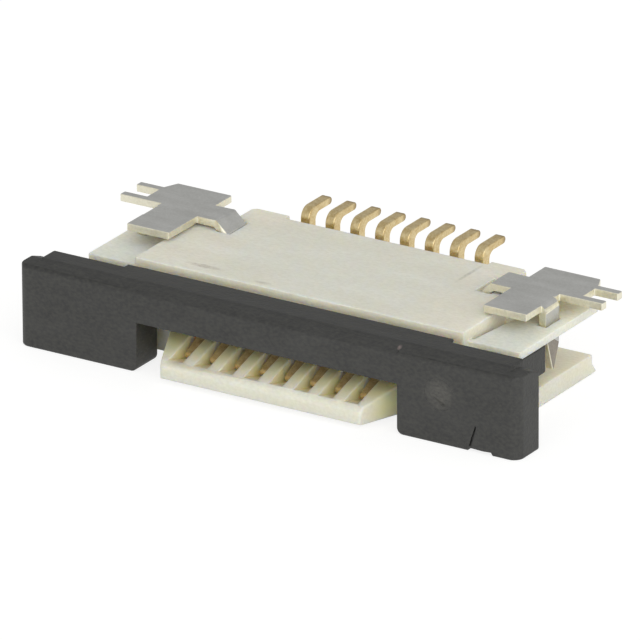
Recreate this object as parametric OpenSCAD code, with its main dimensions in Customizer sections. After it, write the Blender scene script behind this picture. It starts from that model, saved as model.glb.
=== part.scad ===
// Slide-lock FPC connector: right angle, surface mount, lying with its board side up.
// Millimetres. X runs along the contacts, -Y is the side the cable enters, +Z is the board side.

/* [Contacts] */
// Number of contacts
ways = 8; // [4:1:20]
// Distance from one contact to the next
pitch = 0.5; // [0.45:0.01:0.65]
// Sheet that the contacts are stamped from
contact_t = 0.18; // [0.14:0.01:0.22]
// Height of the sprung beam's section
beam_h = 0.13; // [0.1:0.01:0.15]
// Height of the solder tail's section
tail_h = 0.14; // [0.12:0.01:0.18]
// How far the solder tails reach behind the rear wall
tail_reach = 0.92; // [0.7:0.02:1.3]
// Thickness of the riser below the solder tail, front to back
riser_d = 0.22; // [0.18:0.01:0.26]
// Outer radius of the tail's bend
tail_bend_r = 0.21; // [0.18:0.01:0.3]
// How far the contact point stands above the cable rest
point_rise = 0.07; // [0.03:0.01:0.1]

/* [Cable slot] */
// Thickness of the cable's stiffened end
cable_t = 0.3; // [0.2:0.01:0.33]
// Height of the surface that the cable rests on
rest_z = 0.62; // [0.58:0.01:0.7]
// From the outer contacts' centres to the slot's side walls
slot_margin = 0.55; // [0.45:0.01:0.65]

/* [Housing] */
// Height of the housing, up to its roof
roof_z = 1.62; // [1.58:0.02:1.9]
// Thickness of the floor plate
floor_t = 0.4; // [0.36:0.01:0.5]
// From the slider's face to the housing's front wall
front_y = 1.05; // [0.95:0.01:1.2]
// From the front wall to the rear wall
body_d = 2.85; // [2.8:0.05:3.5]
// From the outer contacts' centres to the side of the roof
roof_margin = 1.54; // [1.5:0.01:1.8]
// Width of the thin plate over each side channel
wing_w = 1.03; // [0.98:0.01:1.2]
// Thickness of that plate
wing_t = 0.15; // [0.1:0.01:0.17]
// How far that plate lies below the roof
wing_drop = 0.19; // [0.16:0.01:0.22]
// From the outer contacts' centres to the comb's front corner
comb_margin = 0.25; // [0.22:0.01:0.32]
// How far the comb stands out in front of the slider's face
comb_reach = 0.19; // [0.05:0.01:0.3]
// Height of the top of the comb's front lip
lip_z = 0.38; // [0.33:0.01:0.42]
// How far the comb's underside is raised
comb_relief = 0.08; // [0.02:0.01:0.12]
// Width of the grooves for the sprung beams
groove_w = 0.28; // [0.25:0.01:0.3]

/* [Slider] */
// Thickness of the slider's bar and ears, front to back
bar_t = 0.69; // [0.58:0.01:0.72]
// How much deeper the bar is in front of the roof
bar_step = 0.13; // [0.05:0.01:0.16]
// Height of the slider's front face
face_z = 1.45; // [1.36:0.01:1.47]
// Depth of the bevel above that face
bevel_d = 0.29; // [0.1:0.01:0.4]
// From the outer contacts' centres to the ears' inner sides
ear_margin = 0.85; // [0.8:0.01:1]
// How far each ear stands out past the thin plate
ear_out = 0.68; // [0.5:0.01:0.9]
// Travel from locked to open
travel = 0.75; // [0.5:0.05:0.8]

/* [Solder tabs] */
// Sheet that the solder tabs are stamped from
tab_t = 0.14; // [0.12:0.01:0.17]
// How far the solder plane stands above the roof
stand_off = 0.18; // [0.18:0.01:0.26]
// Front to back length of a tab
tab_d = 2.03; // [1.9:0.01:2.2]
// How far the carrier stubs stand out past a tab's side
stub_reach = 0.46; // [0.3:0.01:0.7]

/* [Hidden] */
$fn = 48;
eps = 0.01;
side_play = 0.05;
fit = 0.01;

// Stations along X, from the middle
row = (ways - 1) * pitch;
comb_x = row / 2 + comb_margin;
slot_x = row / 2 + slot_margin;
ear_x = row / 2 + ear_margin;
roof_x = row / 2 + roof_margin;
wing_x = roof_x + wing_w;
end_x = wing_x + ear_out;
floor_inset = 0.2;
floor_x = wing_x - floor_inset;
rear_inset = 0.52;
rear_x = roof_x - rear_inset;
recess_margin = 0.28;
rear_corner = 0.08;
recess_x = row / 2 + recess_margin;

// Stations along Y, from the slider's face
rear_y = front_y + body_d;
slot_end_y = rear_y - 0.75;
boss_y = rear_y + 0.14;
waist_y = slot_end_y + 0.25;
wing_y0 = front_y + 0.13;
wing_y1 = rear_y - 0.15;
slit_d = 1.35;
slit_y = front_y + slit_d;
tail_tip_y = rear_y + tail_reach;

// Stations along Z
wing_z1 = roof_z - wing_drop;
wing_z0 = wing_z1 - wing_t;
solder_z = roof_z + stand_off;
tongue_z0 = rest_z + cable_t + 0.01;
slot_top_z = roof_z - 0.35;
tongue_z1 = slot_top_z - 0.03;
bar_z0 = tongue_z0 - 0.03;
slider_top_z = roof_z - 0.04;
groove_z = 0.22;

// The part's origin is the middle of its footprint
origin_y = (tail_tip_y - comb_reach) / 2;

// Comb
comb_flare = 0.385;
comb_root_x = comb_x + comb_flare * (front_y + comb_reach);
comb_top_y = 0.6;
lip_bevel_y = 0.06;
lip_bevel_z = 0.08;
groove_start = 0.05;

// Floor plate's rear edge
skirt_d = 0.14;
skirt_z = 0.23;
skirt_foot = 0.06;
floor_bevel = 0.06;

// Contact: centre lines in its own plane, as [y, z]
root_y0 = slot_end_y + 0.05;
root_y1 = rear_y - 0.06;
root_w = contact_t + 2 * fit;
beam_z = groove_z + 0.06 + beam_h / 2;
point_y = front_y - 0.05;
point_r = 0.09;
tip_y = comb_top_y - 0.18;
fixed_h = 0.14;
fixed_z = slot_top_z + 0.02 + fixed_h / 2;
fixed_y = front_y + 0.25;
neck_z = solder_z - 0.7;
riser_y = rear_y + 0.17;
tail_inner_r = 0.14;

// Roof slots for the fixed beams
roof_slot_w = 0.26;
roof_slot_z = fixed_z + fixed_h / 2;

// Slider
ear_r = 0.2;
foot_r = 0.12;
cap_inset = 0.3;
cap_x = end_x - cap_inset;
end_top_z = roof_z - 0.11;
end_bevel_y = 0.42;
end_bevel_z = end_top_z - 0.1;
bar_step_x = roof_x - 0.02;
tongue_x = slot_x - side_play;
tongue_y = slot_end_y - side_play;
tongue_nose = 0.45;
arm_x0 = roof_x + 0.25;
arm_x1 = wing_x - side_play;
arm_z0 = floor_t + 0.33;
arm_z1 = wing_z0 - 0.04;
hook_d = 0.2;
arm_lead = 0.15;
hook_x = roof_x + 0.07;
latch_d = 0.2;
latch_x = roof_x + 0.18;
hook_y = front_y + latch_d + travel + side_play;
arm_y = hook_y + hook_d;
mark_r = 0.29;
mark_depth = 0.02;

// Solder tab: plan, seen from the board side
tab_y1 = rear_y + 0.04;
tab_y0 = tab_y1 - tab_d;
tab_x0 = roof_x - 0.14;
tab_x1 = wing_x - 0.32;
tab_nose_d = 1.09;
tab_wide_y = tab_y0 + tab_nose_d;
tab_wide = 0.38;
tab_corner_x = 0.13;
tab_corner_y = 0.3;
tab_mid_z = solder_z - tab_t / 2;
stub_w = 0.15;
stub_pitch = 0.52;
stub_y = [tab_wide_y + stub_w / 2, tab_wide_y + stub_w / 2 + stub_pitch];
pocket_play = 0.03;

// Solder tab's anchor: its centre line runs out from the tab, over a bend and into the roof
anchor_y0 = tab_y0 + 0.9;
anchor_d = 0.6;
anchor_y1 = anchor_y0 + anchor_d;
anchor_x = tab_x0 - 0.59;
anchor_flat = 0.37;
anchor_foot_z = 0.95;
anchor_line = [[tab_x0 + 0.1, tab_mid_z], [tab_x0 - anchor_flat, tab_mid_z],
               [anchor_x + 0.02, roof_z - 0.08], [anchor_x, anchor_foot_z]];

// Solder tab's leg: bends down at the tab's outer edge
leg_y1 = tab_wide_y - 0.15;
leg_w = 0.44;
leg_y0 = leg_y1 - leg_w;
leg_gap = 0.16;
leg_taper = 0.23;
leg_tip = 0.04;
leg_point = 0.44;
leg_z = floor_t + leg_gap;
leg_bend = tab_t + 0.03;
leg_x = tab_x1 + 0.09;

// Moves a piece from its stations to the part's own frame
module in_frame() {
    translate([0, -origin_y, 0]) children();
}

module both_sides() {
    children();
    mirror([1, 0, 0]) children();
}

// A block between two corners
module block(a, b) {
    translate(a) cube(b - a);
}

// A section drawn in the YZ plane, made w wide about x
module slab(w, x = 0) {
    translate([x - w / 2, 0, 0]) rotate([90, 0, 90]) linear_extrude(w) children();
}

// A section drawn in the XZ plane, from y0 to y1
module along_y(y0, y1) {
    translate([0, y1, 0]) rotate([90, 0, 0]) linear_extrude(y1 - y0) children();
}

// A straight stroke of width w with round ends, in the plane
module stroke(a, b, w) {
    run = norm(b - a);
    turn = atan2(b.y - a.y, b.x - a.x);
    translate(a) rotate(turn) {
        translate([0, -w / 2]) square([run, w]);
        circle(d = w);
        translate([run, 0]) circle(d = w);
    }
}

function contact_x(i) = (i - (ways + 1) / 2) * pitch;
// Height of the comb's sloping top
function comb_z(y) = lip_z + (rest_z - lip_z) * (y + comb_reach) / (comb_top_y + comb_reach);

/* ---- Housing ---- */

// The lip under the cable: narrow in front, with a top that slopes up to the cable rest
module comb() {
    intersection() {
        linear_extrude(roof_z)
            polygon([[-comb_x, -comb_reach], [comb_x, -comb_reach],
                     [comb_root_x, front_y + eps], [-comb_root_x, front_y + eps]]);
        slab(2 * comb_root_x + 1)
            polygon([[-comb_reach, comb_relief], [-comb_reach, lip_z - lip_bevel_z],
                     [lip_bevel_y - comb_reach, comb_z(lip_bevel_y - comb_reach)],
                     [comb_top_y, rest_z],
                     [front_y + 1, rest_z], [front_y + 1, comb_relief]]);
    }
}

// The floor plate under the whole part: bevelled along its sides, with a skirt along its rear edge
module floor_plate() {
    intersection() {
        slab(2 * floor_x)
            polygon([[front_y, 0], [front_y, floor_t], [rear_y, floor_t], [rear_y, skirt_z],
                     [rear_y + skirt_d, skirt_foot], [rear_y + skirt_d, 0]]);
        translate([0, rear_y + 1, 0]) rotate([90, 0, 0]) linear_extrude(rear_y + 1)
            polygon([[floor_bevel - floor_x, 0], [floor_x - floor_bevel, 0],
                     [floor_x, floor_bevel], [floor_x, roof_z],
                     [-floor_x, roof_z], [-floor_x, floor_bevel]]);
    }
}

// The block between the side channels, with the narrower rear block that holds the contacts
module core() {
    block([-roof_x, front_y, 0], [roof_x, waist_y, roof_z]);
    linear_extrude(roof_z)
        polygon([[-rear_x, waist_y - eps], [rear_x, waist_y - eps],
                 [rear_x, boss_y - rear_corner], [rear_x - rear_corner, boss_y],
                 [rear_corner - rear_x, boss_y], [-rear_x, boss_y - rear_corner]]);
}

// The thin plate over a side channel
module wing() {
    slab(wing_x - roof_x + eps, (wing_x + roof_x - eps) / 2)
        polygon([[wing_y0, wing_z0], [wing_y0, wing_z1], [wing_y1, wing_z1], [wing_y1, wing_z0]]);
}

// The rib that stops a slider arm's hook when the slider is pulled out
module latch_rib() {
    block([roof_x - eps, front_y, floor_t - eps], [latch_x, front_y + latch_d, wing_z0 + eps]);
}

// One contact's room in the housing: comb groove, roof slot and the slot its root is pressed into
module contact_room() {
    slab(groove_w)
        polygon([[groove_start - comb_reach, comb_z(groove_start - comb_reach)],
                 [0.2, groove_z], [root_y0, groove_z], [root_y0, rest_z + eps],
                 [comb_top_y, rest_z + eps], [groove_start - comb_reach, rest_z + eps]]);
    block([-roof_slot_w / 2, fixed_y - 0.12, slot_top_z - eps],
          [roof_slot_w / 2, root_y0, roof_slot_z]);
    block([-root_w / 2, slot_end_y - eps, groove_z + 0.06],
          [root_w / 2, boss_y + eps, roof_slot_z]);
}

// The pocket in the roof that a tab's anchor slopes into, open above, and its press-fit slot
module anchor_room() {
    corner = anchor_line[2];
    along_y(anchor_y0 - fit, anchor_y1 + fit) anchor_section(tab_t + 2 * fit);
    along_y(anchor_y0 - pocket_play, anchor_y1 + pocket_play)
        polygon([[anchor_x - tab_t / 2 - pocket_play, roof_z + eps],
                 [anchor_x - tab_t / 2 - pocket_play, corner.y], corner,
                 [anchor_line[1].x, roof_z + eps]]);
}

// The hole in the thin plate that a tab's leg passes through
module leg_room() {
    block([leg_x - tab_t - pocket_play, leg_y0 - pocket_play, wing_z0 - eps],
          [leg_x + pocket_play, leg_y1 + pocket_play, wing_z1 + eps]);
}

// The wedge-shaped slit between the roof block and the thin plate
module wing_slit() {
    translate([0, 0, wing_z0 - eps])
        linear_extrude(wing_t + 2 * eps)
            polygon([[roof_x, wing_y0 + 0.12], [roof_x + 0.05, wing_y0 + 0.12],
                     [roof_x + 0.16, slit_y], [roof_x, slit_y]]);
}

module housing() {
    color([0.86, 0.85, 0.78])
    in_frame()
    difference() {
        union() {
            comb();
            floor_plate();
            core();
            both_sides() wing();
            both_sides() latch_rib();
        }
        // Cable slot
        block([-slot_x, front_y - eps, rest_z], [slot_x, slot_end_y, slot_top_z]);
        // Recess for the solder tails between the rear corners
        block([-recess_x, rear_y, -eps], [recess_x, boss_y + 1, roof_z + eps]);
        for (i = [1 : ways]) translate([contact_x(i), 0, 0]) contact_room();
        both_sides() anchor_room();
        both_sides() leg_room();
        both_sides() wing_slit();
    }
}

/* ---- Slider ---- */

// Bar section: upright face, bevel, flat top
module bar_section(depth) {
    polygon([[0, bar_z0], [0, face_z], [bevel_d, slider_top_z], [depth, slider_top_z],
             [depth, bar_z0]]);
}

// Ear section: down to the foot, with a lower top than the bar
module ear_section() {
    polygon([[0, 0], [0, face_z], [0.06, end_top_z], [end_bevel_y, end_top_z],
             [bar_t, end_bevel_z], [bar_t, 0]]);
}

// An ear's outline in plan, with its outer front corner rounded
module ear_plan() {
    difference() {
        translate([ear_x, 0]) square([end_x - ear_x, bar_t]);
        difference() {
            translate([end_x - ear_r, -eps]) square([ear_r + eps, ear_r + eps]);
            translate([end_x - ear_r, ear_r]) circle(r = ear_r);
        }
    }
}

// An ear's outline from the front, with its inner foot corner rounded
module ear_front() {
    difference() {
        translate([ear_x, 0]) square([end_x - ear_x, roof_z]);
        difference() {
            translate([ear_x - eps, -eps]) square([foot_r + eps, foot_r + eps]);
            translate([ear_x + foot_r, foot_r]) circle(r = foot_r);
        }
    }
}

module ear() {
    intersection() {
        slab(end_x - ear_x, (end_x + ear_x) / 2) ear_section();
        linear_extrude(roof_z) ear_plan();
        translate([0, bar_t, 0]) rotate([90, 0, 0]) linear_extrude(bar_t) ear_front();
    }
}

// A latch arm: runs back in the side channel and hooks behind the housing's rib
module arm() {
    translate([0, 0, arm_z0])
        linear_extrude(arm_z1 - arm_z0)
            polygon([[arm_x0, bar_t - eps], [arm_x1, bar_t - eps], [arm_x1, arm_y - arm_lead],
                     [arm_x1 - arm_lead, arm_y], [arm_x0, arm_y]]);
    translate([0, 0, arm_z0])
        linear_extrude(arm_z1 - arm_z0)
            polygon([[arm_x0 + eps, hook_y], [hook_x, hook_y], [arm_x0, arm_y],
                     [arm_x0 + eps, arm_y]]);
}

// The tongue that presses the cable down: its nose tapers from above
module tongue() {
    slab(2 * tongue_x)
        polygon([[bar_t, tongue_z0], [bar_t, tongue_z1], [tongue_y - tongue_nose, tongue_z1],
                 [tongue_y, tongue_z0 + 0.12], [tongue_y, tongue_z0 + 0.04],
                 [tongue_y - 0.1, tongue_z0]]);
}

module slider() {
    color([0.12, 0.12, 0.12])
    in_frame()
    difference() {
        union() {
            slab(2 * cap_x) bar_section(bar_t);
            slab(2 * bar_step_x) bar_section(bar_t + bar_step);
            both_sides() ear();
            both_sides() arm();
            tongue();
        }
        // Gate mark on one ear
        translate([(ear_x + end_x) / 2 - 0.36, mark_depth, face_z * 0.62])
            rotate([90, 0, 0]) cylinder(r = mark_r, h = mark_depth + eps);
    }
}

/* ---- Contacts ---- */

// The tail: a riser, a bend that is round on both sides, and the foot
module tail_section() {
    bend = [riser_y + tail_bend_r, solder_z - tail_bend_r];
    riser_y1 = riser_y + riser_d;
    foot_z = solder_z - tail_h;
    translate([riser_y, neck_z - tail_h / 2]) square([riser_d, bend.y - neck_z + tail_h / 2]);
    difference() {
        union() {
            translate([riser_y, bend.y]) square([riser_d, foot_z - bend.y]);
            translate([riser_y, foot_z - tail_inner_r])
                square([riser_d + tail_inner_r, tail_h + tail_inner_r]);
        }
        difference() {
            translate([riser_y - eps, bend.y]) square([tail_bend_r + eps, tail_bend_r + eps]);
            translate(bend) circle(r = tail_bend_r);
        }
        translate([riser_y1 + tail_inner_r, foot_z - tail_inner_r]) circle(r = tail_inner_r);
    }
    stroke([riser_y1 + tail_inner_r, solder_z - tail_h / 2],
           [tail_tip_y - tail_h / 2, solder_z - tail_h / 2], tail_h);
    // Neck
    translate([root_y1 - eps, neck_z - tail_h / 2]) square([riser_y - root_y1 + 2 * eps, tail_h]);
}

module contact_section() {
    point = [point_y, rest_z + point_rise - point_r];
    heel = [point_y + 0.4, beam_z];
    // Root
    translate([root_y0, groove_z + 0.06])
        square([root_y1 - root_y0, roof_slot_z - groove_z - 0.06]);
    // Sprung beam, rising to the contact point and dipping to its tip
    stroke([root_y0 + beam_h, beam_z], heel, beam_h);
    stroke(heel, [point_y, point.y + point_r - beam_h / 2], beam_h);
    stroke([point_y, point.y + point_r - beam_h / 2], [tip_y, beam_z + 0.02], beam_h);
    // Fixed beam
    stroke([root_y0 + fixed_h, fixed_z], [fixed_y + fixed_h / 2, fixed_z], fixed_h);
    tail_section();
}

module contact(i) {
    color([0.83, 0.68, 0.35])
    in_frame()
    slab(contact_t, contact_x(i)) contact_section();
}

/* ---- Solder tabs ---- */

// A tab's outline from the board side, cut back where the leg's bend starts
module tab_plan() {
    bend_x = leg_x - leg_bend;
    wide_x = tab_x1 + tab_wide;
    polygon([[tab_x0, tab_y0], [tab_x1, tab_y0], [tab_x1, leg_y0], [bend_x, leg_y0],
             [bend_x, leg_y1], [tab_x1, leg_y1], [tab_x1, tab_wide_y], [wide_x, tab_wide_y],
             [wide_x, tab_y1 - tab_corner_y], [wide_x - tab_corner_x, tab_y1], [tab_x0, tab_y1]]);
    for (y = stub_y)
        translate([tab_x1, y - stub_w / 2]) square([tab_wide + stub_reach, stub_w]);
}

// The anchor's section, w thick
module anchor_section(w) {
    for (i = [0 : len(anchor_line) - 2]) stroke(anchor_line[i], anchor_line[i + 1], w);
}

// The leg's section: a quarter bend, then straight down
module leg_section() {
    bend = [leg_x - leg_bend, solder_z - leg_bend];
    intersection() {
        translate(bend) difference() {
            circle(r = leg_bend);
            circle(r = leg_bend - tab_t);
        }
        translate(bend) square([leg_bend, leg_bend]);
    }
    translate([bend.x - 0.05, solder_z - tab_t]) square([0.05 + eps, tab_t]);
    translate([leg_x - tab_t, leg_z]) square([tab_t, bend.y - leg_z + eps]);
}

// The outer leg: bends down through the thin plate and ends in a point
module leg() {
    intersection() {
        along_y(leg_y0, leg_y1) leg_section();
        slab(2 * wing_x)
            polygon([[leg_y0, solder_z], [leg_y0, wing_z0], [leg_y0 + leg_taper, leg_z],
                     [leg_y0 + leg_taper + leg_tip, leg_z], [leg_y1, leg_z + leg_point],
                     [leg_y1, solder_z]]);
    }
}

module solder_tab() {
    color([0.62, 0.62, 0.61])
    in_frame() {
        translate([0, 0, solder_z - tab_t]) linear_extrude(tab_t) tab_plan();
        along_y(anchor_y0, anchor_y1) anchor_section(tab_t);
        leg();
    }
}

module solder_tab_right() {
    solder_tab();
}

module solder_tab_left() {
    mirror([1, 0, 0]) solder_tab();
}

housing();
slider();
for (i = [1 : ways])
    contact(i);
solder_tab_left();
solder_tab_right();
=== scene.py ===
"""The finish and the studio of an 8-way flat-cable connector with a slide lock.

It has a white housing, a black slider, gilt contacts and tinned solder tabs."""
import math

import bmesh
import bpy
from mathutils import Matrix, Vector


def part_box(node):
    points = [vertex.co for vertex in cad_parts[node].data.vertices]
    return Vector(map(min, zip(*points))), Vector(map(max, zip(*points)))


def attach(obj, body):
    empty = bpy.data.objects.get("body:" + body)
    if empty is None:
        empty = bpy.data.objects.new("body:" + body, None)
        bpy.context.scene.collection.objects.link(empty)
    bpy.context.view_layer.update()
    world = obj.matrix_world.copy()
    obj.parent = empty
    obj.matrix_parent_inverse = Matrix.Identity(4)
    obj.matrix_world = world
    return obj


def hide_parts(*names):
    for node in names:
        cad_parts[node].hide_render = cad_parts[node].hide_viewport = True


MM = 0.001                       # a millimetre in metres: lengths below are written in millimetres

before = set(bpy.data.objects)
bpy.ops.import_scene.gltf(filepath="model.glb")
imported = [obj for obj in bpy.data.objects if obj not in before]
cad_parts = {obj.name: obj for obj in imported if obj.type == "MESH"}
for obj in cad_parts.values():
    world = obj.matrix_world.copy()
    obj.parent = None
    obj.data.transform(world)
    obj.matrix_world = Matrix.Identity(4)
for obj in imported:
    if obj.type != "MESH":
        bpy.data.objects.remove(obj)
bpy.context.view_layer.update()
scene = bpy.context.scene
scene.view_settings.view_transform = "Standard"


# ------------------------------------------------------------------ nodes and colours

def colour(code):
    """An sRGB colour such as D8D5C6, as the linear RGBA that shaders take."""
    channels = [int(code[i:i + 2], 16) / 255 for i in (0, 2, 4)]
    return [c / 12.92 if c <= 0.04045 else ((c + 0.055) / 1.055) ** 2.4 for c in channels] + [1.0]


def add(tree, kind, inputs=None, **settings):
    """Adds a node, sets its properties, and sets or links its inputs, which go by name or by number."""
    made = tree.nodes.new(kind)
    for key, value in settings.items():
        setattr(made, key, value)
    for key, value in (inputs or {}).items():
        if isinstance(value, bpy.types.NodeSocket):
            tree.links.new(value, made.inputs[key])
        else:
            made.inputs[key].default_value = value
    return made


def new_material(name):
    """A material with an empty node tree."""
    made = bpy.data.materials.new(name)
    made.use_nodes = True
    made.node_tree.nodes.clear()
    return made, made.node_tree


# ------------------------------------------------------------------ camera

AZIMUTH, ELEVATION, ROLL = (math.radians(angle) for angle in (32.06, 22.22, -0.28))
AIM = Vector((0.0, -0.015, 0.9)) * MM       # the middle of the part, which the framing is worked out from
DISTANCE = 215 * MM
ASIDE, BELOW = 0.2895 * MM, 0.1697 * MM     # how far the middle of the frame lies to the left of AIM and below

back = Vector((math.sin(AZIMUTH) * math.cos(ELEVATION), -math.cos(AZIMUTH) * math.cos(ELEVATION),
               math.sin(ELEVATION)))
level = Vector((math.cos(AZIMUTH), math.sin(AZIMUTH), 0))
upright = back.cross(level)
right = level * math.cos(ROLL) + upright * math.sin(ROLL)
up = upright * math.cos(ROLL) - level * math.sin(ROLL)

camera = bpy.data.objects.new("camera", bpy.data.cameras.new("camera"))
scene.collection.objects.link(camera)
turn = Matrix((right, up, back)).transposed().to_4x4()
camera.matrix_world = Matrix.Translation(AIM - right * ASIDE - up * BELOW + back * DISTANCE) @ turn
camera.data.sensor_width = 36
camera.data.lens = 709.3
camera.data.clip_start, camera.data.clip_end = 0.01, 10
scene.camera = camera


# ------------------------------------------------------------------ studio

FRONT_WALL, BACK_WALL, CEILING = "DCDCDC", "C2C2C2", "CACACA"

world = bpy.data.worlds.new("light_tent")
world.use_nodes = True
scene.world = world
tree = world.node_tree
tree.nodes.clear()
bearing = add(tree, "ShaderNodeTexCoord").outputs["Generated"]
towards = add(tree, "ShaderNodeSeparateXYZ", {"Vector": bearing}).outputs
behind = add(tree, "ShaderNodeMapRange", {"Value": towards["Y"], "From Min": -0.7, "From Max": 0.7})
walls = add(tree, "ShaderNodeMix", {"Factor": behind.outputs[0], 6: colour(FRONT_WALL), 7: colour(BACK_WALL)},
            data_type="RGBA")
above = add(tree, "ShaderNodeMapRange", {"Value": towards["Z"], "From Min": 0.3, "From Max": 0.8})
tent = add(tree, "ShaderNodeMix", {"Factor": above.outputs[0], 6: walls.outputs[2], 7: colour(CEILING)},
           data_type="RGBA")
cloth = add(tree, "ShaderNodeBackground", {"Color": tent.outputs[2], "Strength": 1.0})
add(tree, "ShaderNodeOutputWorld", {"Surface": cloth.outputs[0]})

# White paper. Rays that look at it see white where it is lit, and still see the part's shadow
floor_paper, tree = new_material("white_paper_matt")
path = add(tree, "ShaderNodeLightPath").outputs
seen = add(tree, "ShaderNodeMath", {0: path["Is Camera Ray"], 1: path["Is Glossy Ray"]}, operation="MAXIMUM")
seen = add(tree, "ShaderNodeMath", {0: seen.outputs[0], 1: path["Is Transmission Ray"]}, operation="MAXIMUM")
paper = add(tree, "ShaderNodeBsdfDiffuse", {"Color": colour("F2F2F0")})
shade = add(tree, "ShaderNodeBsdfDiffuse", {"Color": colour("8A8A88")})
white = add(tree, "ShaderNodeEmission", {"Color": colour("FFFFFF"), "Strength": 0.82})
looked_at = add(tree, "ShaderNodeAddShader", {0: shade.outputs[0], 1: white.outputs[0]})
either = add(tree, "ShaderNodeMixShader", {0: seen.outputs[0], 1: paper.outputs[0], 2: looked_at.outputs[0]})
add(tree, "ShaderNodeOutputMaterial", {"Surface": either.outputs[0]})

FLOOR_HALF = 300 * MM
FLOOR_Z = -0.005 * MM                       # a hair under the part, so that no two faces lie in one plane
floor_corners = [(x * FLOOR_HALF, y * FLOOR_HALF, FLOOR_Z) for x, y in ((-1, -1), (1, -1), (1, 1), (-1, 1))]
floor_mesh = bpy.data.meshes.new("floor")
floor_mesh.from_pydata(floor_corners, [], [(0, 1, 2, 3)])
floor_mesh.materials.append(floor_paper)
floor = bpy.data.objects.new("floor", floor_mesh)
scene.collection.objects.link(floor)


def softbox(name, azimuth, elevation, side, watts, distance=300):
    """A square lamp turned to the part, from a bearing in degrees, with its side and distance in millimetres."""
    lamp = bpy.data.lights.new(name, "AREA")
    lamp.shape, lamp.size, lamp.energy = "SQUARE", side * MM, watts
    holder = bpy.data.objects.new(name, lamp)
    scene.collection.objects.link(holder)
    a, e = math.radians(azimuth), math.radians(elevation)
    away = Vector((math.sin(a) * math.cos(e), -math.cos(a) * math.cos(e), math.sin(e)))
    holder.matrix_world = (Matrix.Translation(AIM + away * distance * MM)
                           @ away.to_track_quat("Z", "Y").to_matrix().to_4x4())


softbox("front_lamp", 26, 14, 460, 0.66)
softbox("right_lamp", 80, 22, 400, 0.38)


# ------------------------------------------------------------------ materials

def blotches(tree, place, size, drawn_out=(1, 1, 1), detail=3.0):
    """A value that wanders over the surface in soft blotches, size millimetres across."""
    stretched = add(tree, "ShaderNodeMapping", {"Vector": place, "Scale": [1 / s for s in drawn_out]})
    return add(tree, "ShaderNodeTexNoise", {"Vector": stretched.outputs[0], "Scale": 1 / (size * MM),
                                            "Detail": detail}).outputs["Fac"]


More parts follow.
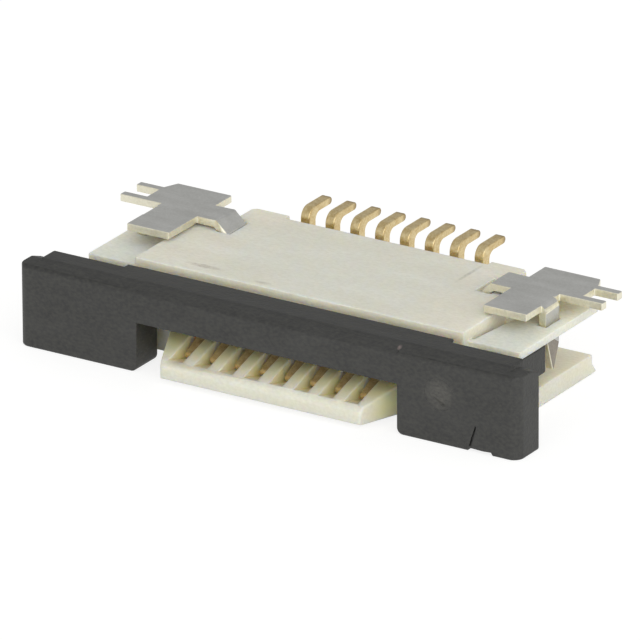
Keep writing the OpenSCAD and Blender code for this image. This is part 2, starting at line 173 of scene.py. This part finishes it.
def moulded(name, pale, deep, fibre, flow_size, gloss, fibre_show, skin_depth, thin=None, warm=None, scuffs=(),
            **finish):
    """Glass-filled plastic: slow flow tones, glass fibres just under the skin, and a fine bumpy satin skin.

    thin is (X, Z, colour), in millimetres: painted light, a paler colour on the thin plates beyond and above
    them, for the light that comes through them.
    warm is (from, to, colour), in millimetres along Y, for painted light: a warm tone that comes in towards the
    back.
    scuffs are soft marks, as (centre, half sizes, colour, strength), with the lengths in millimetres."""
    made, tree = new_material(name)
    place = add(tree, "ShaderNodeTexCoord").outputs["Object"]
    flow = blotches(tree, place, flow_size, (3, 1, 1), 4.0)
    fibres = blotches(tree, place, 0.05, (1.5, 1, 1), 3.0)
    flowing = add(tree, "ShaderNodeMapRange", {"Value": flow, "From Min": 0.3, "From Max": 0.7})
    body = add(tree, "ShaderNodeMix", {"Factor": flowing.outputs[0], 6: colour(deep), 7: colour(pale)},
               data_type="RGBA")
    # Painted light: the thin plates are made paler for the light that comes through them
    if thin:
        parted = add(tree, "ShaderNodeSeparateXYZ", {"Vector": place}).outputs
        outward = add(tree, "ShaderNodeMath", {0: parted["X"]}, operation="ABSOLUTE")
        beyond = add(tree, "ShaderNodeMath", {0: outward.outputs[0], 1: thin[0] * MM},
                     operation="GREATER_THAN")
        above = add(tree, "ShaderNodeMapRange", {"Value": parted["Z"], "From Min": (thin[1] - 0.2) * MM,
                                                 "From Max": thin[1] * MM, "To Max": 0.85})
        plates = add(tree, "ShaderNodeMath", {0: beyond.outputs[0], 1: above.outputs[0]}, operation="MULTIPLY")
        body = add(tree, "ShaderNodeMix", {"Factor": plates.outputs[0], 6: body.outputs[2],
                                           7: colour(thin[2])}, data_type="RGBA")
    showing = add(tree, "ShaderNodeMapRange", {"Value": fibres, "From Min": 0.35, "From Max": 0.7,
                                               "To Max": fibre_show})
    body = add(tree, "ShaderNodeMix", {"Factor": showing.outputs[0], 6: body.outputs[2], 7: colour(fibre)},
               data_type="RGBA")
    # Painted light: a warm tone in place of the light that the gilt beams throw back
    if warm:
        along = add(tree, "ShaderNodeSeparateXYZ", {"Vector": place}).outputs["Y"]
        near = add(tree, "ShaderNodeMapRange", {"Value": along, "From Min": warm[0] * MM,
                                                "From Max": warm[1] * MM})
        body = add(tree, "ShaderNodeMix", {"Factor": near.outputs[0], 6: body.outputs[2], 7: colour(warm[2])},
                   data_type="RGBA")
    for centre, half_sizes, code, strength in scuffs:
        held = add(tree, "ShaderNodeMapping", {"Vector": place, "Location": [c * MM for c in centre],
                                               "Scale": [h * MM for h in half_sizes]}, vector_type="TEXTURE")
        away = add(tree, "ShaderNodeVectorMath", {0: held.outputs[0]}, operation="LENGTH").outputs["Value"]
        soft = add(tree, "ShaderNodeMapRange", {"Value": away, "From Min": 0.3, "From Max": 1.0,
                                                "To Min": 2 * strength, "To Max": 0.0})
        broken = add(tree, "ShaderNodeMath", {0: soft.outputs[0], 1: fibres}, operation="MULTIPLY")
        body = add(tree, "ShaderNodeMix", {"Factor": broken.outputs[0], 6: body.outputs[2], 7: colour(code)},
                   data_type="RGBA")
    satin = add(tree, "ShaderNodeMapRange", {"Value": fibres, "From Min": 0.3, "From Max": 0.7,
                                             "To Min": gloss - 0.06, "To Max": gloss + 0.06})
    waves = add(tree, "ShaderNodeBump", {"Height": flow, "Strength": 1.0, "Distance": 0.01 * MM})
    bumps = add(tree, "ShaderNodeBump", {"Height": fibres, "Strength": 1.0, "Distance": skin_depth * MM,
                                         "Normal": waves.outputs[0]})
    shader = add(tree, "ShaderNodeBsdfPrincipled", {"Base Color": body.outputs[2], "Normal": bumps.outputs[0],
                                                    "Roughness": satin.outputs[0], **finish})
    add(tree, "ShaderNodeOutputMaterial", {"Surface": shader.outputs[0]})
    return made


def plated(name, pale, deep, gloss, wander_size, drawn_out=(1, 1, 1), tip=None, matt=None):
    """A plated sheet metal: tone and gloss wander a little.

    Along Y, in millimetres: tip is (from, to, its colour), and matt is (from, to, how much rougher)."""
    made, tree = new_material(name)
    place = add(tree, "ShaderNodeTexCoord").outputs["Object"]
    wander = blotches(tree, place, wander_size, drawn_out)
    crystals = blotches(tree, place, 0.035, detail=2.0)
    both = add(tree, "ShaderNodeMath", {0: wander, 1: crystals}, operation="ADD")
    tone = add(tree, "ShaderNodeMapRange", {"Value": both.outputs[0], "From Min": 0.7, "From Max": 1.3})
    body = add(tree, "ShaderNodeMix", {"Factor": tone.outputs[0], 6: colour(deep), 7: colour(pale)},
               data_type="RGBA").outputs[2]
    along = add(tree, "ShaderNodeSeparateXYZ", {"Vector": place}).outputs["Y"]
    if tip:
        near = add(tree, "ShaderNodeMapRange", {"Value": along, "From Min": tip[0] * MM,
                                                "From Max": tip[1] * MM})
        body = add(tree, "ShaderNodeMix", {"Factor": near.outputs[0], 6: body, 7: colour(tip[2])},
                   data_type="RGBA").outputs[2]
    satin = add(tree, "ShaderNodeMapRange", {"Value": both.outputs[0], "From Min": 0.7, "From Max": 1.3,
                                             "To Min": gloss - 0.06, "To Max": gloss + 0.06}).outputs[0]
    if matt:
        near = add(tree, "ShaderNodeMapRange", {"Value": along, "From Min": matt[0] * MM,
                                                "From Max": matt[1] * MM, "To Max": matt[2]})
        satin = add(tree, "ShaderNodeMath", {0: satin, 1: near.outputs[0]}, operation="ADD").outputs[0]
    bumps = add(tree, "ShaderNodeBump", {"Height": both.outputs[0], "Strength": 1.0, "Distance": 0.003 * MM})
    shader = add(tree, "ShaderNodeBsdfPrincipled", {"Base Color": body, "Metallic": 1.0, "Roughness": satin,
                                                    "Normal": bumps.outputs[0]})
    add(tree, "ShaderNodeOutputMaterial", {"Surface": shader.outputs[0]})
    return made


# Where things are on the part, in millimetres. Z 0 is the surface that it lies on
face_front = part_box("slider")[0].y / MM                      # the slider's front face
comb_back = face_front + 0.7                                 # the back of what shows of the comb under the bar
roof_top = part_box("housing")[1].z / MM
roof_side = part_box("solder_tab_right")[0].x / MM + 0.80      # where the roof ends and the thin plates begin
PLATES_Z = 1.2                                               # the thin plates lie above this
GATE_X, GATE_Z, GATE_R = 3.44, 0.899, 0.3                    # the round mark where the slider's resin went in

# The natural resin: warm ivory and matt, and light passes some tenths of a millimetre into it
NATURAL = {"pale": "EBE8DA", "deep": "E3DFCE", "fibre": "CBC6B2", "flow_size": 0.5, "gloss": 0.6,
           "fibre_show": 0.3, "skin_depth": 0.003, "IOR": 1.55, "Subsurface Weight": 0.85,
           "Subsurface Radius": (1.0, 0.75, 0.4), "Subsurface Scale": 0.5 * MM}

# Natural glass-filled LCP, injection moulded: its thin plates carry painted light, a paler colour for the light
# that comes through them, and handling has left faint brown marks on the roof
white_lcp = moulded(
    "natural_glass_filled_lcp_moulded", thin=(roof_side, PLATES_Z, "FBF4DF"),
    scuffs=[((-2.05, -1.0, roof_top), (0.42, 0.09, 0.1), "8A7B62", 0.4),
            ((-0.79, -1.13, roof_top), (0.2, 0.07, 0.1), "8A7B62", 0.35),
            ((1.99, 1.05, roof_top), (0.05, 0.5, 0.1), "6E685C", 0.3)], **NATURAL)
# The same resin on the comb, with painted light: its colour grows warm under the bar for the light that the gilt
# beams throw back
comb_lcp = moulded("natural_lcp_with_painted_bounce_on_comb", warm=(face_front - 0.1, face_front + 0.3, "FFEFBE"), **NATURAL)
# Black glass-filled LCP, injection moulded: near-black and satin, speckled where fibres come near the skin,
# rubbed a little paler at the round gate mark, and with one pale speck on the bevel
black_lcp = moulded(
    "black_glass_filled_lcp_moulded", pale="30302F", deep="272726", fibre="50504A", flow_size=0.3, gloss=0.58,
    fibre_show=0.4, skin_depth=0.008,
    scuffs=[((GATE_X, face_front, 0.9), (0.36, 0.1, 0.36), "62605A", 0.4),
            ((2.58, face_front + 0.17, 1.5), (0.05, 0.08, 0.06), "A8948F", 0.45)], **{"IOR": 1.5})

tail_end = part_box("contact_1")[1].y / MM
# Gold over nickel on stamped phosphor bronze: pale satin gold, matt on the sprung beams, browner at the tail
# ends, where the sheet was cut after plating
gold = plated("gold_plated_phosphor_bronze_stamped", "E4D3A6", "C6AC76", gloss=0.38, wander_size=0.1,
              tip=(tail_end - 0.14, tail_end, "86704E"), matt=(0.5, -0.5, 0.45))
# Matt tin on rolled phosphor bronze: an even soft grey with the rolling just showing
tin = plated("matt_tin_plated_phosphor_bronze_rolled", "CFCFCC", "BFBFBB", gloss=0.55, wander_size=0.2,
             drawn_out=(3, 1, 1))
# The same sheet where it was sheared: bare warm metal, pale and dull
bare = plated("phosphor_bronze_sheared_edge", "F2EEDC", "E2DEC9", gloss=0.5, wander_size=0.08)
# The legs' flanks below the plate: painted shade, the tin made darker and browner for the dark channels they
# stand in
shaded_tin = plated("tin_plated_phosphor_bronze_painted_shade", "A39C92", "8C857B", gloss=0.55, wander_size=0.15)


# ------------------------------------------------------------------ pieces

WELD = 0.0005                    # corners closer than this are one corner
CLOSE = 0.01                     # how near a corner has to be to a place to be the one that is meant


def merged(node):
    """A copy of a node's mesh in millimetres, with its triangles joined into whole faces."""
    work = bmesh.new()
    work.from_mesh(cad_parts[node].data)
    bmesh.ops.scale(work, vec=(1 / MM,) * 3, verts=work.verts)
    bmesh.ops.remove_doubles(work, verts=work.verts, dist=WELD)
    bmesh.ops.dissolve_limit(work, angle_limit=math.radians(1), verts=work.verts, edges=work.edges)
    return work


def carved(work, outline, front, behind):
    """A merged mesh with a prism cut out, between two Ys. Its outline is (x, z) points, seen from the front."""
    block = bmesh.new()
    face = block.faces.new([block.verts.new((x, front, z)) for x, z in outline])
    grown = bmesh.ops.extrude_face_region(block, geom=[face])["geom"]
    bmesh.ops.translate(block, vec=(0, behind - front, 0),
                        verts=[v for v in grown if isinstance(v, bmesh.types.BMVert)])
    bmesh.ops.recalc_face_normals(block, faces=block.faces)
    pair = []
    for label, shape in (("uncut", work), ("cutter", block)):
        mesh = bpy.data.meshes.new(label)
        shape.to_mesh(mesh)
        shape.free()
        pair.append(bpy.data.objects.new(label, mesh))
        scene.collection.objects.link(pair[-1])
    cut = pair[0].modifiers.new("cut", "BOOLEAN")
    cut.object, cut.operation, cut.solver = pair[1], "DIFFERENCE", "EXACT"
    depsgraph = bpy.context.evaluated_depsgraph_get()
    result = bmesh.new()
    result.from_mesh(pair[0].evaluated_get(depsgraph).data)
    for used in pair:
        bpy.data.objects.remove(used)
    return result


def softened(work, name, materials, radius, turn=28, shortest=0.0, share=None, pick=None):
    """The finished mesh, in metres, of a piece that comes as a merged mesh.

    Edges that turn more than so many degrees are rounded to radius millimetres, times share(edge). Those whose
    share is 0 and those that are too short stay sharp. pick(face) gives a face the number of its material."""
    weight = work.edges.layers.float.new("bevel_weight_edge")
    for edge in work.edges:
        if len(edge.link_faces) == 2 and edge.calc_face_angle() > math.radians(turn):
            edge[weight] = 0.0 if edge.calc_length() < shortest else share(edge) if share else 1.0
            edge.smooth = edge[weight] > 0
    mesh = bpy.data.meshes.new(name)
    work.to_mesh(mesh)
    work.free()
    rough = bpy.data.objects.new(name + "_rough", mesh)
    scene.collection.objects.link(rough)
    bevel = rough.modifiers.new("round", "BEVEL")
    bevel.limit_method, bevel.width, bevel.segments, bevel.use_clamp_overlap = "WEIGHT", radius, 3, False
    level_faces = rough.modifiers.new("level_faces", "WEIGHTED_NORMAL")
    level_faces.weight, level_faces.keep_sharp = 100, True
    rough.modifiers.new("split", "TRIANGULATE").keep_custom_normals = True
    for face in mesh.polygons:
        face.use_smooth = True
    depsgraph = bpy.context.evaluated_depsgraph_get()
    made = bpy.data.meshes.new_from_object(rough.evaluated_get(depsgraph), preserve_all_data_layers=True,
                                           depsgraph=depsgraph)
    bpy.data.objects.remove(rough)
    made.transform(Matrix.Scale(MM, 4))
    made.name = name
    made.materials.clear()
    for material in materials:
        made.materials.append(material)
    if pick:
        for face in made.polygons:
            face.material_index = pick(face)
    return made


def piece(name, mesh, body, slot, *nodes):
    """Puts a mesh in the scene as a piece that rides on a body and stands for some nodes."""
    made = bpy.data.objects.new(name, mesh)
    scene.collection.objects.link(made)
    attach(made, body)
    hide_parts(*nodes)


def worn_comb(edge):
    """The comb's teeth and lip are rounder than the rest of the housing, and its inner corners stay sharp."""
    if all(v.co.y < comb_back for v in edge.verts):
        return 1.0 if edge.is_convex else 0.0
    return 0.5


def finish_in_comb(face):
    """1 on the comb's teeth and in its grooves, which get the painted warm light, 0 elsewhere."""
    n, middle = face.normal, face.center / MM
    on_comb = face_front - 0.15 < middle.y < comb_back + 0.3 and 0.2 < middle.z < 0.66 and abs(middle.x) < 2.3
    return int(on_comb and (abs(n.x) > 0.3 or n.z > 0.3))


# The grooves' floors run out towards the lip in one long slope, and end short of its rounded edge.
# Each row is the (Y, Z) of their corners, and where these go
GROOVE_MOVES = (((face_front + 0.2, 0.22), (face_front + 0.5, 0.24)),
                ((face_front - 0.14, 0.395), (face_front - 0.09, 0.4103)))
GROOVES_HALF = 1.95              # the grooves lie within this of the middle

moulding = merged("housing")
for vert in moulding.verts:
    for (y, z), moved in GROOVE_MOVES:
        if abs(vert.co.y - y) < CLOSE and abs(vert.co.z - z) < CLOSE and abs(vert.co.x) < GROOVES_HALF:
            vert.co.y, vert.co.z = moved
            break
housing_mesh = softened(moulding, "housing_moulding", [white_lcp, comb_lcp], radius=0.04, turn=20,
                        share=worn_comb, pick=finish_in_comb)
piece("housing_moulding", housing_mesh, "housing", "housing_plastic", "housing")

EAR_X = 2.6                      # the ears' inner sides
LEDGE_Y, LEDGE_Z = face_front + 0.06, 1.477      # the narrow ledge on top of an ear, and where it runs out
GATE_DEPTH = 0.008               # the gate mark is worn shallow
CHIP = [(3.98, -0.05), (4.02, 0.06), (4.3, 0.05), (4.46, 0.06), (4.54, -0.05)]
CRACK = [(4.0, 0.0), (4.06, 0.2), (4.15, 0.47), (4.175, 0.46), (4.1, 0.19), (4.05, 0.0)]


def in_gate_mark(place):
    """True within the gate mark, seen from the front."""
    return math.hypot(place.x - GATE_X, place.z - GATE_Z) < GATE_R


def slider_share(edge):
    """The gate mark's rim and the crack keep small radii."""
    ends = [v.co for v in edge.verts]
    if all(in_gate_mark(p) for p in ends):
        return 0.15
    return 0.2 if all(3.95 < p.x < 4.6 and p.z < 0.5 and p.y < face_front + 0.2 for p in ends) else 1.0


moulding = merged("slider")
for vert in moulding.verts:
    if abs(abs(vert.co.x) - EAR_X) < CLOSE and abs(vert.co.y - LEDGE_Y) < CLOSE and vert.co.z > LEDGE_Z:
        vert.co.z = LEDGE_Z      # the ledge runs out into the bar's bevel
    # Known fault: this has no limit behind the mark, so it also pulls the right arm's inner lower corners
    # forward, which lie straight behind it. They should stay where they are
    if in_gate_mark(vert.co) and vert.co.y > face_front + CLOSE:
        vert.co.y = face_front + GATE_DEPTH
# This ear had a knock, which left a chipped lower edge and a crack
moulding = carved(moulding, CHIP, face_front - 0.1, face_front + 0.16)
moulding = carved(moulding, CRACK, face_front - 0.1, face_front + 0.05)
slider_mesh = softened(moulding, "slider_moulding", [black_lcp], radius=0.035, share=slider_share)
piece("slider_moulding", slider_mesh, "slider", "slider_plastic", "slider")

# One contact, repeated along the row
contact_nodes = sorted(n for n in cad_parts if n.startswith("contact_"))
first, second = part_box("contact_1"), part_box("contact_2")
one = merged("contact_1")
bmesh.ops.translate(one, vec=Vector((-(first[0].x + first[1].x) / 2 / MM, 0, 0)), verts=one.verts)

row = bpy.data.node_groups.new("contact_row", "GeometryNodeTree")
for label, kind in (("Contact", "Geometry"), ("Ways", "Int"), ("Pitch", "Float"), ("First", "Float"),
                    ("Finish", "Material")):
    row.interface.new_socket(label, in_out="INPUT", socket_type="NodeSocket" + kind)
row.interface.new_socket("Row", in_out="OUTPUT", socket_type="NodeSocketGeometry")
given = add(row, "NodeGroupInput").outputs
start = add(row, "ShaderNodeCombineXYZ", {"X": given["First"]})
step = add(row, "ShaderNodeCombineXYZ", {"X": given["Pitch"]})
line = add(row, "GeometryNodeMeshLine", {"Count": given["Ways"], "Start Location": start.outputs[0],
                                         "Offset": step.outputs[0]}, mode="OFFSET")
copies = add(row, "GeometryNodeInstanceOnPoints", {"Points": line.outputs[0], "Instance": given["Contact"]})
real = add(row, "GeometryNodeRealizeInstances", {"Geometry": copies.outputs[0]})
finished = add(row, "GeometryNodeSetMaterial", {"Geometry": real.outputs[0], "Material": given["Finish"]})
add(row, "NodeGroupOutput", {"Row": finished.outputs[0]})

single = bpy.data.objects.new("contact_single", softened(one, "contact_single", [gold], radius=0.02))
scene.collection.objects.link(single)
repeat = single.modifiers.new("row", "NODES")
repeat.node_group = row
sizes = {"Ways": len(contact_nodes), "Pitch": second[0].x - first[0].x, "First": (first[0].x + first[1].x) / 2,
         "Finish": gold}
for item in row.interface.items_tree:
    if item.name in sizes:
        repeat[item.identifier] = sizes[item.name]
depsgraph = bpy.context.evaluated_depsgraph_get()
row_mesh = bpy.data.meshes.new_from_object(single.evaluated_get(depsgraph), depsgraph=depsgraph)
bpy.data.objects.remove(single)
piece("contact_row", row_mesh, "housing", "contact_gold", *contact_nodes)

for hand in ("left", "right"):
    name = "solder_tab_" + hand
    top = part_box(name)[1].z / MM

    def finish_of(face):
        """1 where the sheet was sheared, 2 on the leg's flanks below the plate, which get the painted shade, and
        0 elsewhere.
        """
        n, middle = face.normal, face.center / MM
        if abs(n.y) > 0.5 or (abs(n.x) > 0.8 and middle.z > top - 0.15):
            return 1
        return 2 if middle.z < top - 0.55 else 0

    tab_mesh = softened(merged(name), "tab_" + hand, [tin, bare, shaded_tin], radius=0.02, shortest=0.03,
                        pick=finish_of)
    piece("tab_" + hand, tab_mesh, "housing", "tab_tin", name)
